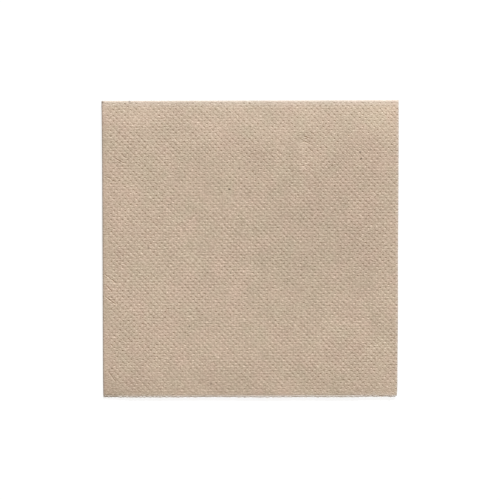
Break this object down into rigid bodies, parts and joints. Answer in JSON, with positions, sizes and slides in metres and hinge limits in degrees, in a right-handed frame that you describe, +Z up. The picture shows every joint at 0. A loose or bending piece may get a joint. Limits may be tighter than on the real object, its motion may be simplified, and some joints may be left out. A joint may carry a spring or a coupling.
{
  "type": "paper napkin",
  "caption": "Flat square napkin of unbleached brown, dot-embossed tissue, cross-folded to a closed corner with layered open edges; wipes hands and goes under a glass.",
  "frame": {"origin": "middle of the napkin's box, on the face it lies on", "axes": "+Z up through the layers, +Y towards the second fold (closed back edge), -X towards the first fold (closed left edge)"},
  "size_m": [0.1002, 0.1004, 0.0025],
  "materials": {
    "tissue": "matt unbleached tissue, embossed all over with small staggered dots"
  },
  "bodies": {
    "root": {"folded_napkin": "tissue"}
  },
  "joints": []
}
